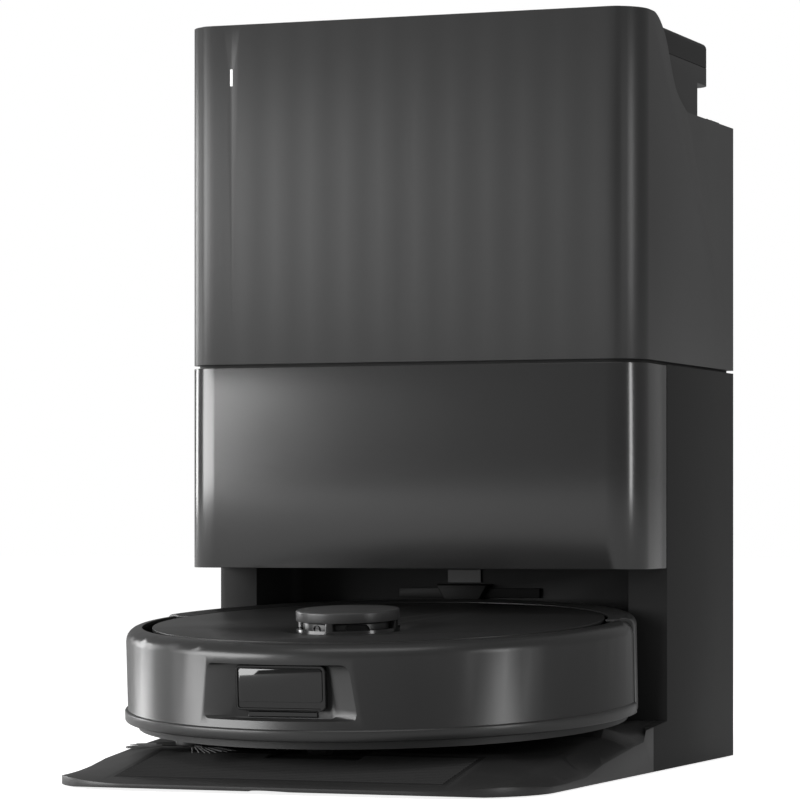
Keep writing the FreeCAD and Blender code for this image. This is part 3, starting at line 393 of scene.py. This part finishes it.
# %% [markdown]
# The parts that aren't plastic: plated contacts and screws with a brushed bump, the
# green circuit boards, cloth with a woven bump, the smoked sensor windows and the
# little lamp on the front.


# %% Metal, board, cloth, glass and lamp
def principled(name):
    material = bpy.data.materials.new(name)
    material.use_nodes = True
    return material, material.node_tree, material.node_tree.nodes["Principled BSDF"]


def metal(name, colour, gloss):
    material, tree, shader = principled(name)
    shader.inputs["Metallic"].default_value = 1.0
    shader.inputs["Base Color"].default_value = colour
    cloud = group_node(tree, handled_gloss, Scale=60.0, Middle=gloss, Spread=0.15)
    tree.links.new(cloud.outputs["Roughness"], shader.inputs["Roughness"])
    place = tree.nodes.new("ShaderNodeTexCoord")
    stretch = tree.nodes.new("ShaderNodeMapping")
    stretch.inputs["Scale"].default_value = (200, 6000, 6000)
    noise = tree.nodes.new("ShaderNodeTexNoise")
    noise.inputs["Scale"].default_value = 1.0
    bump = tree.nodes.new("ShaderNodeBump")
    bump.inputs["Strength"].default_value = 0.2
    bump.inputs["Distance"].default_value = 0.00003
    tree.links.new(place.outputs["Object"], stretch.inputs["Vector"])
    tree.links.new(stretch.outputs["Vector"], noise.inputs["Vector"])
    tree.links.new(noise.outputs["Fac"], bump.inputs["Height"])
    tree.links.new(bump.outputs["Normal"], shader.inputs["Normal"])
    return material


def board():
    material, tree, shader = principled("circuit_board")
    place = tree.nodes.new("ShaderNodeTexCoord")
    tracks = tree.nodes.new("ShaderNodeTexBrick")
    tracks.inputs["Scale"].default_value = 220.0
    tracks.inputs["Color1"].default_value = (0.01, 0.07, 0.03, 1)
    tracks.inputs["Color2"].default_value = (0.012, 0.09, 0.04, 1)
    tracks.inputs["Mortar"].default_value = (0.03, 0.16, 0.07, 1)
    tracks.inputs["Mortar Size"].default_value = 0.03
    tree.links.new(place.outputs["Object"], tracks.inputs["Vector"])
    tree.links.new(tracks.outputs["Color"], shader.inputs["Base Color"])
    cloud = group_node(tree, handled_gloss, Scale=30.0, Middle=0.4, Spread=0.1)
    tree.links.new(cloud.outputs["Roughness"], shader.inputs["Roughness"])
    return material


def cloth(name, colour, second, pitch, depth):
    """Two-way weave with slubs: crossed waves for threads, noise for wear."""
    material, tree, shader = principled(name)
    shader.inputs["Specular IOR Level"].default_value = 0.15
    shader.inputs["Sheen Weight"].default_value = 0.35
    place = tree.nodes.new("ShaderNodeTexCoord")
    waves = []
    for direction in ("X", "Y"):
        wave = tree.nodes.new("ShaderNodeTexWave")
        wave.bands_direction = direction
        wave.inputs["Scale"].default_value = 1 / pitch
        wave.inputs["Distortion"].default_value = 1.5
        wave.inputs["Detail"].default_value = 2.0
        tree.links.new(place.outputs["Object"], wave.inputs["Vector"])
        waves.append(wave)
    weave = tree.nodes.new("ShaderNodeMath")
    weave.operation = "MULTIPLY"
    tree.links.new(waves[0].outputs["Fac"], weave.inputs[0])
    tree.links.new(waves[1].outputs["Fac"], weave.inputs[1])
    mix = tree.nodes.new("ShaderNodeMix")
    mix.data_type = "RGBA"
    mix.inputs["A"].default_value = second
    mix.inputs["B"].default_value = colour
    tree.links.new(weave.outputs[0], mix.inputs["Factor"])
    tree.links.new(mix.outputs["Result"], shader.inputs["Base Color"])
    cloud = group_node(tree, handled_gloss, Scale=40.0, Middle=0.85, Spread=0.1)
    tree.links.new(cloud.outputs["Roughness"], shader.inputs["Roughness"])
    bump = tree.nodes.new("ShaderNodeBump")
    bump.inputs["Strength"].default_value = 0.8
    bump.inputs["Distance"].default_value = depth
    tree.links.new(weave.outputs[0], bump.inputs["Height"])
    tree.links.new(bump.outputs["Normal"], shader.inputs["Normal"])
    return material


def smoked(name, shade):
    """Polished black window plastic, almost a mirror at a slant."""
    material = plastic(name, grey(shade), 0.05, 0.03, 0.02, 3000.0, dust=0.03, specular=0.6)
    return material


def lamp_finish():
    material, tree, shader = principled("lamp_white")
    shader.inputs["Base Color"].default_value = (0.8, 0.8, 0.8, 1)
    shader.inputs["Emission Strength"].default_value = 0.42
    place = tree.nodes.new("ShaderNodeTexCoord")
    glow = tree.nodes.new("ShaderNodeTexNoise")
    glow.inputs["Scale"].default_value = 90.0
    tree.links.new(place.outputs["Object"], glow.inputs["Vector"])
    ramp = tree.nodes.new("ShaderNodeMapRange")
    ramp.inputs["To Min"].default_value = 0.75
    ramp.inputs["To Max"].default_value = 1.0
    tree.links.new(glow.outputs["Fac"], ramp.inputs["Value"])
    shine = tree.nodes.new("ShaderNodeCombineColor")
    for label in ("Red", "Green", "Blue"):
        tree.links.new(ramp.outputs[0], shine.inputs[label])
    tree.links.new(shine.outputs[0], shader.inputs["Emission Color"])
    return material


finish.update({
    "steel": metal("screw_steel", (0.42, 0.42, 0.43, 1), 0.35),
    "contact": metal("contact_plate", (0.75, 0.72, 0.66, 1), 0.22),
    "board": board(),
    "mop": cloth("mop_microfibre", grey(0xB0), grey(0x60), 0.0014, 0.0006),
    "bag": cloth("bag_fleece", grey(0xD8, 0.03), grey(0xA8, 0.03), 0.0011, 0.0002),
    "smoked": smoked("smoked_window", 0x12),
    "frame_gloss": plastic("window_frame_gloss", grey(0x16), 0.15, 0.04, 0.03, 3000.0,
                           specular=0.5),
    "turret_wall": plastic("turret_wall_satin", grey(0x20), 0.3, 0.05, 0.1, 2600.0, specular=0.3),
    "window": plastic("window_grey", grey(0x4E), 0.2, 0.05, 0.1, 2600.0, specular=0.4),
    "lamp": lamp_finish(),
    "wrap": plastic("battery_wrap", (0.02, 0.05, 0.10, 1), 0.35, 0.08, 0.1, 2600.0),
    "bristle": plastic("bristle_nylon", grey(0x55), 0.4, 0.1, 0.1, 2600.0, specular=0.3),
})
print("all finishes:", len(finish))

# %% [markdown]
# Every construction part gets its finish by name. The imported parts come with plain
# stand-in materials, so their slots are emptied and refilled.

# %% Dress the frame
dress = {
    "shell": ["upper_housing"],
    "cover": ["front_cover"],
    "side": ["lower_housing"],
    "base": ["base_tray", "wash_tray"],
    "dark": ["dust_port", "side_guides", "bag_collar", "dust_duct"],
    "bumper": ["bumper", "rear_shell"],
    "lid": ["top_lid", "power_button", "home_button"],
    "cap": ["lidar_cap"],
    "turret": ["lidar_base", "lidar_rotor"],
    "tank": ["clean_tank", "dirty_tank"],
    "tank_lid": ["clean_tank_lid", "dirty_tank_lid", "clean_tank_handle", "dirty_tank_handle"],
    "deck": ["rear_deck"],
    "inner": ["fan_housing", "fan_rotor", "clean_pump", "dirty_pump", "power_supply",
              "power_inlet", "robot_chassis", "swing_arm_left", "swing_arm_right", "caster_fork",
              "robot_fan", "dustbin", "mop_disc_left", "mop_disc_right", "brush_cover"],
    "rubber": ["ramp_pad", "rubber_feet", "wheel_left", "wheel_right", "caster_wheel",
               "main_brush"],
    "steel": ["housing_screws", "robot_motors"],
    "contact": ["charge_contact_left", "charge_contact_right"],
    "board": ["main_board", "robot_board"],
    "smoked": ["sensor_window"],
    "window": ["ir_window"],
    "lamp": ["status_light"],
    "wrap": ["robot_battery"],
    "bag": ["dust_bag"],
    "mop": ["mop_pad_left", "mop_pad_right"],
    "bristle": ["side_brush"],
}
for key, names in dress.items():
    for name in names:
        nodes[name].data.materials.clear()
        nodes[name].data.materials.append(finish[key])
print("dressed:", sum(len(names) for names in dress.values()), "of", len(nodes))

# %% [markdown]
# Real mouldings have no razor edges: every rim has a fine radius that catches a line of
# light. A soft copy of each large shell is made by welding its triangles, dissolving
# the flat ones back into whole faces, and bevelling what stays sharp. The copy then
# stands in for the construction part.


# %% Soft-edged shells
bodies_of = {}
for body, names in frame["record"]["behaviour"]["bodies"].items():
    for name in names:
        bodies_of[name] = body


def welded_copy(node, name):
    source = nodes[node]
    copy = bpy.data.objects.new(name, source.data.copy())
    bpy.context.collection.objects.link(copy)
    only(copy)
    bpy.ops.object.mode_set(mode="EDIT")
    bpy.ops.mesh.select_all(action="SELECT")
    bpy.ops.mesh.remove_doubles(threshold=0.00002)
    bpy.ops.mesh.dissolve_limited(angle_limit=math.radians(0.6))
    bpy.ops.object.mode_set(mode="OBJECT")
    return copy


flute_floor = 0.7      # how deep the flutes are cut, in mm
flute_fade = 2.3       # past that depth, the shape returns to the CAD's over this
flute_share = 0.25     # the share of the depth that is drawn


def mark_flutes(copy):
    """Keep the crease between two flutes crisp, and make the flutes shallow."""
    front_y = min(vertex.co.y for vertex in copy.data.vertices)
    only(copy)
    bpy.ops.object.mode_set(mode="EDIT")
    bpy.ops.mesh.select_mode(type="EDGE")
    bpy.ops.mesh.select_all(action="DESELECT")
    bpy.ops.object.mode_set(mode="OBJECT")
    points = copy.data.vertices
    for edge in copy.data.edges:
        low, high = (points[index].co for index in edge.vertices)
        upright = abs(low.z - high.z) > 2 * mm and abs(low.x - high.x) < 0.1 * mm
        edge.select = upright and max(low.y, high.y) < front_y + 0.06 * mm
    bpy.ops.object.mode_set(mode="EDIT")
    bpy.ops.mesh.mark_sharp()
    bpy.ops.object.mode_set(mode="OBJECT")
    for vertex in copy.data.vertices:
        depth = (vertex.co.y - front_y) / mm
        blend = min(max((depth - flute_floor) / flute_fade, 0.0), 1.0)
        blend = blend * blend * (3 - 2 * blend)
        vertex.co.y = front_y + depth * (flute_share + (1 - flute_share) * blend) * mm
    return sum(edge.use_edge_sharp for edge in copy.data.edges)


def soften(node, name, width, steps=2, angle=40):
    copy = welded_copy(node, name)
    if node == "upper_housing":
        print("flute creases:", mark_flutes(copy))
    bevel = copy.modifiers.new("edge", "BEVEL")
    bevel.width = width
    bevel.segments = steps
    bevel.limit_method = "ANGLE"
    bevel.angle_limit = math.radians(angle)
    bevel.use_clamp_overlap = True
    bevel.harden_normals = False
    apply_modifiers(copy)
    smooth(copy, 38)
    stand_in(copy, node)
    return copy


def stand_in(piece, *node_names):
    """Ride with the part that it replaces, and hide that part."""
    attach(piece, bodies_of[node_names[0]])
    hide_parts(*node_names)


soft_shells = {
    "upper_housing": ("shell_skin", 0.9 * mm),
    "front_cover": ("cover_skin", 0.7 * mm),
    "lower_housing": ("side_skin", 1.6 * mm),
    "base_tray": ("base_skin", 0.9 * mm),
    "rear_deck": ("deck_skin", 0.5 * mm),
    "lidar_base": ("turret_base_skin", 0.4 * mm),
    "lidar_cap": ("turret_cap_skin", 0.3 * mm),
    "clean_tank": ("clean_tank_skin", 0.5 * mm),
    "dirty_tank": ("dirty_tank_skin", 0.5 * mm),
    "clean_tank_lid": ("clean_lid_skin", 0.6 * mm),
    "dirty_tank_lid": ("dirty_lid_skin", 0.6 * mm),
    "clean_tank_handle": ("clean_handle_skin", 1.0 * mm),
    "dirty_tank_handle": ("dirty_handle_skin", 1.0 * mm),
    "bumper": ("bumper_skin", 0.4 * mm),
    "rear_shell": ("rear_shell_skin", 0.4 * mm),
    "top_lid": ("top_lid_skin", 0.4 * mm),
    "side_guides": ("guide_skin", 0.6 * mm),
    "dust_port": ("port_skin", 0.5 * mm),
}
for node, (name, width) in soft_shells.items():
    skin = soften(node, name, width)
    print(name, len(skin.data.polygons), "faces")

# %% [markdown]
# The sensor window in the bumper is a pane of black polished plastic in a slim frame.
# The frame starts as a block; its front face is inset twice and the middle is pushed
# back, which leaves a rim and a seat. The pane is a second block with rounded corners,
# a little smaller than the seat, so a fine shadow runs round it.

# %% Sensor window
def upright_block(name, x, y, z, place):
    """A block given by its ranges, in millimetres, in the robot's own frame."""
    clear_selection()
    bpy.ops.mesh.primitive_cube_add(size=1)
    block = bpy.context.object
    block.name = name
    ranges = (x, y, z)
    block.location = [(low + high) / 2 * mm for low, high in ranges]
    block.scale = [(high - low) * mm for low, high in ranges]
    bpy.ops.object.transform_apply(location=True, rotation=True, scale=True)
    return block if place is None else place(block)


def select_faces(obj, test):
    """Select the faces whose centre and normal pass a test, and stay in edit mode."""
    only(obj)
    bpy.ops.object.mode_set(mode="EDIT")
    bpy.ops.mesh.select_mode(type="FACE")
    bpy.ops.mesh.select_all(action="DESELECT")
    bpy.ops.object.mode_set(mode="OBJECT")
    for face in obj.data.polygons:
        face.select = test(face.center, face.normal)
    bpy.ops.object.mode_set(mode="EDIT")


def round_edges(obj, width, steps, test=None):
    """Bevel all edges, or those whose direction passes a test."""
    bevel = obj.modifiers.new("round", "BEVEL")
    bevel.width = width
    bevel.segments = steps
    if test is not None:
        bevel.limit_method = "WEIGHT"
        layer = obj.data.attributes.new("bevel_weight_edge", "FLOAT", "EDGE")
        points = obj.data.vertices
        for edge in obj.data.edges:
            low, high = (points[index].co for index in edge.vertices)
            layer.data[edge.index].value = 1.0 if test((high - low).normalized()) else 0.0
    apply_modifiers(obj)
    if "bevel_weight_edge" in obj.data.attributes:
        obj.data.attributes.remove(obj.data.attributes["bevel_weight_edge"])


def wear(obj, key, body):
    obj.data.materials.clear()
    obj.data.materials.append(finish[key])
    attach(obj, body)


window_middle = -8.0
recess_floor = -157.0
frame_front = recess_floor - 4.2
frame_block = upright_block("window_frame", (window_middle - 31, window_middle + 31),
                            (frame_front, recess_floor), (34.0, 63.2), None)
round_edges(frame_block, 3.2 * mm, 5, lambda way: abs(way.y) > 0.99)
select_faces(frame_block, lambda centre, normal: normal.y < -0.99)
bpy.ops.mesh.inset(thickness=0.5 * mm, depth=0.4 * mm)
bpy.ops.mesh.inset(thickness=0.9 * mm, depth=0)
bpy.ops.mesh.inset(thickness=0.3 * mm, depth=-1.0 * mm)
bpy.ops.object.mode_set(mode="OBJECT")
smooth(frame_block, 30)
window_frame = settle(park(frame_block), "window_frame")
wear(window_frame, "frame_gloss", "bumper")

pane = upright_block("window_pane", (window_middle - 28.9, window_middle + 28.9),
                     (frame_front - 0.2, frame_front + 0.7), (39.6, 61.2), None)
round_edges(pane, 2.6 * mm, 5, lambda way: abs(way.y) > 0.99)
round_edges(pane, 0.25 * mm, 2)
smooth(pane, 30)
window_pane = settle(park(pane), "window_pane")
stand_in(window_pane, "sensor_window")
window_pane.data.materials.clear()
window_pane.data.materials.append(finish["smoked"])
# A thin dark smoked sheet below the window frame stands in for the shade under the window: painted
# shadow.
shadow_sheet_block = upright_block("painted_window_shadow", (window_middle - 24, window_middle + 24),
                            (recess_floor - 1.2, recess_floor), (29.4, 33.2), None)
round_edges(shadow_sheet_block, 0.6 * mm, 2)
painted_window_shadow = settle(park(shadow_sheet_block), "painted_window_shadow")
wear(painted_window_shadow, "smoked", "bumper")
print("window frame faces:", len(window_frame.data.polygons))

# %% [markdown]
# The turret's rangefinder looks out between slim legs through a dark polished band.
# The band is a spun wall that just clears the legs and turns with the head; behind
# it two round lenses catch the light.

# %% Turret window
turret_y = -61.0
clear_selection()
bpy.ops.mesh.primitive_cylinder_add(vertices=72, radius=29.8 * mm, depth=8.0 * mm,
                                    location=(0, turret_y * mm, 79.4 * mm))
band = bpy.context.object
round_edges(band, 0.6 * mm, 2, lambda way: abs(way.z) < 0.5)
smooth(band, 35)
turret_band = park(settle(band, "turret_band"))
wear(turret_band, "turret_wall", "lidar")


def on_turret(obj, turn):
    """Turn a piece that was built at the front of the turret round to its place."""
    obj.data.transform(Matrix.Translation((0, turret_y * mm, 79.6 * mm))
                       @ Matrix.Rotation(math.radians(turn), 4, "Z")
                       @ Matrix.Translation((0, -29.4 * mm, 0)))
    return obj


def turret_eye(name, half_width, half_height, turn):
    """A pane with fully rounded ends, let into a raised rim."""
    clear_selection()
    bpy.ops.mesh.primitive_cylinder_add(vertices=48, radius=half_height * mm, depth=2.4 * mm)
    eye = bpy.context.object
    eye.rotation_euler = (math.radians(90), 0, 0)
    bpy.ops.object.transform_apply(location=True, rotation=True, scale=True)
    spread = (half_width - half_height) * mm
    for vertex in eye.data.vertices:
        vertex.co.x += spread if vertex.co.x > 0 else -spread
    select_faces(eye, lambda centre, normal: normal.y < -0.99)
    bpy.ops.mesh.inset(thickness=0.5 * mm, depth=0)
    bpy.ops.mesh.inset(thickness=0.25 * mm, depth=-0.8 * mm)
    bpy.ops.object.mode_set(mode="OBJECT")
    smooth(eye, 40)
    eye.name = name
    return on_turret(eye, turn)


eyes = [turret_eye("emitter", 2.9, 2.9, -22), turret_eye("receiver", 8.2, 3.3, 33),
        turret_eye("rear_eye", 8.2, 3.3, 150)]
turret_eyes = park(joined(eyes, "turret_eyes"))
wear(turret_eyes, "smoked", "lidar")
print("turret band and", len(eyes), "windows ready")

# %% [markdown]
# The side brush is a small hub with three arms, each ending in a fan of nylon
# bristles. One bristle is a slim tapered cone; it is copied into a fan, the fan is
# copied round the hub, and small differences in angle and droop keep it from looking
# stamped.

# %% Side brush
brush_middle = Vector((-88 * mm, -122 * mm, 0))
draws = random.Random(7)


def along_x(length, thick, thin, sides, start):
    """A tapered rod that starts at a radius and points along X."""
    clear_selection()
    bpy.ops.mesh.primitive_cone_add(vertices=sides, radius1=thick, radius2=thin, depth=length)
    rod = bpy.context.object
    rod.rotation_euler = (0, math.radians(90), 0)
    rod.location = (start + length / 2, 0, 0)
    bpy.ops.object.transform_apply(location=True, rotation=True, scale=True)
    return rod


brush_pieces = []
clear_selection()
bpy.ops.mesh.primitive_cylinder_add(vertices=40, radius=11 * mm, depth=3.6 * mm,
                                    location=(0, 0, 7.8 * mm))
hub = bpy.context.object
bpy.ops.object.transform_apply(location=True, rotation=True, scale=True)
round_edges(hub, 0.8 * mm, 3)
select_faces(hub, lambda centre, normal: normal.z < -0.99)
bpy.ops.mesh.inset(thickness=3 * mm, depth=0)
bpy.ops.mesh.inset(thickness=0.6 * mm, depth=-1.2 * mm)
bpy.ops.object.mode_set(mode="OBJECT")
hub.data.materials.append(finish["inner"])
brush_pieces.append(hub)
for turn in (-45, 75, 195):
    arm = upright_block("arm", (8, 24), (-2.6, 2.6), (5.4, 7.4), None)
    round_edges(arm, 0.7 * mm, 3)
    arm.data.transform(Matrix.Rotation(math.radians(turn), 4, "Z"))
    arm.data.materials.append(finish["inner"])
    brush_pieces.append(arm)
    for index in range(9):
        fan = turn + (index - 4) * 5.2 + draws.uniform(-1.0, 1.0)
        droop = draws.uniform(1.5, 4.0)
        reach = 44.5 * mm - abs(index - 4) * 0.5 * mm - 20 * mm
        bristle = along_x(reach, 0.55 * mm, 0.3 * mm, 6, 0)
        bristle.data.transform(Matrix.Translation((20 * mm, 0, 6.2 * mm))
                               @ Matrix.Rotation(math.radians(droop), 4, "Y"))
        bristle.data.transform(Matrix.Rotation(math.radians(fan), 4, "Z"))
        bristle.data.materials.append(finish["bristle"])
        brush_pieces.append(bristle)
side_brush = joined(brush_pieces, "side_brush_fans")
side_brush.data.transform(Matrix.Translation(brush_middle))
smooth(side_brush, 40)
park(side_brush)
stand_in(side_brush, "side_brush")
print("side brush faces:", len(side_brush.data.polygons))

# %% [markdown]
# The mop pads are thick discs of looped microfibre on a stiff backing. The disc is
# remeshed into even squares, and two sizes of noise push its surface about: a broad
# one for the way it gives where it rests, and a fine one for the loops.

# %% Mop pads
def noise_push(obj, name, size, strength):
    texture = bpy.data.textures.new(name, "CLOUDS")
    texture.noise_scale = size
    push = obj.modifiers.new(name, "DISPLACE")
    push.texture = texture
    push.texture_coords = "LOCAL"
    push.mid_level = 0.5
    push.strength = strength


for side, word in ((-1, "left"), (1, "right")):
    clear_selection()
    bpy.ops.mesh.primitive_cylinder_add(vertices=96, radius=60.8 * mm, depth=4.2 * mm,
                                        location=(side * 66 * mm, 84 * mm, 3.5 * mm))
    disc = bpy.context.object
    bpy.ops.object.transform_apply(location=True, rotation=True, scale=True)
    round_edges(disc, 1.6 * mm, 3)
    grid = disc.modifiers.new("grid", "REMESH")
    grid.mode = "VOXEL"
    grid.voxel_size = 1.1 * mm
    noise_push(disc, "give_" + word, 14 * mm, 0.8 * mm)
    noise_push(disc, "loops_" + word, 1.8 * mm, 1.3 * mm)
    apply_modifiers(disc)
    smooth(disc, 80)
    pad = settle(park(disc), "mop_cloth_" + word)
    pad.data.materials.append(finish["mop"])
    stand_in(pad, "mop_pad_" + word)
    print(pad.name, len(pad.data.polygons), "faces")

# %% [markdown]
# The dust bag is two sheets of soft fleece, welded round the edge and blown up by the
# suction. A smaller closed box is remeshed and given to the cloth solver with some
# pressure, so that its sides crown and its corners pull in and crease.

# %% Dust bag
bag_low, bag_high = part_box("dust_bag")
bag_middle = (bag_low + bag_high) / 2
bag_size = bag_high - bag_low
clear_selection()
bpy.ops.mesh.primitive_cube_add(size=1, location=bag_middle)
bag = bpy.context.object
bag.scale = (bag_size.x - 20 * mm, bag_size.y - 34 * mm, bag_size.z - 18 * mm)
bpy.ops.object.transform_apply(location=True, rotation=True, scale=True)
round_edges(bag, 9 * mm, 3)
bag_grid = bag.modifiers.new("grid", "REMESH")
bag_grid.mode = "VOXEL"
bag_grid.voxel_size = 5.5 * mm
apply_modifiers(bag)
start_points = [vertex.co.copy() for vertex in bag.data.vertices]


def blow_up(obj, pressure, frames):
    only(obj)
    cloth_step = obj.modifiers.new("fleece", "CLOTH")
    settings = cloth_step.settings
    settings.quality = 5
    settings.use_pressure = True
    settings.uniform_pressure_force = pressure
    settings.tension_stiffness = 9
    settings.compression_stiffness = 9
    settings.bending_stiffness = 0.4
    settings.effector_weights.gravity = 0
    for frame_number in range(1, frames + 1):
        bpy.context.scene.frame_set(frame_number)
    apply_modifiers(obj)
    bpy.context.scene.frame_set(1)


blow_up(bag, 4.0, 20)
most = 13 * mm
for vertex, start in zip(bag.data.vertices, start_points):
    moved = vertex.co - start
    if moved.length > most:
        vertex.co = start + moved.normalized() * most
finer = bag.modifiers.new("finer", "SUBSURF")
finer.levels = 1
finer.render_levels = 1
apply_modifiers(bag)
smooth(bag, 80)
dust_sack = settle(bag, "dust_sack")
dust_sack.data.materials.append(finish["bag"])
stand_in(dust_sack, "dust_bag")
sack_low = [round(min(vertex.co[axis] for vertex in bag.data.vertices), 4) for axis in range(3)]
sack_high = [round(max(vertex.co[axis] for vertex in bag.data.vertices), 4) for axis in range(3)]
print("dust sack from", sack_low, "to", sack_high)
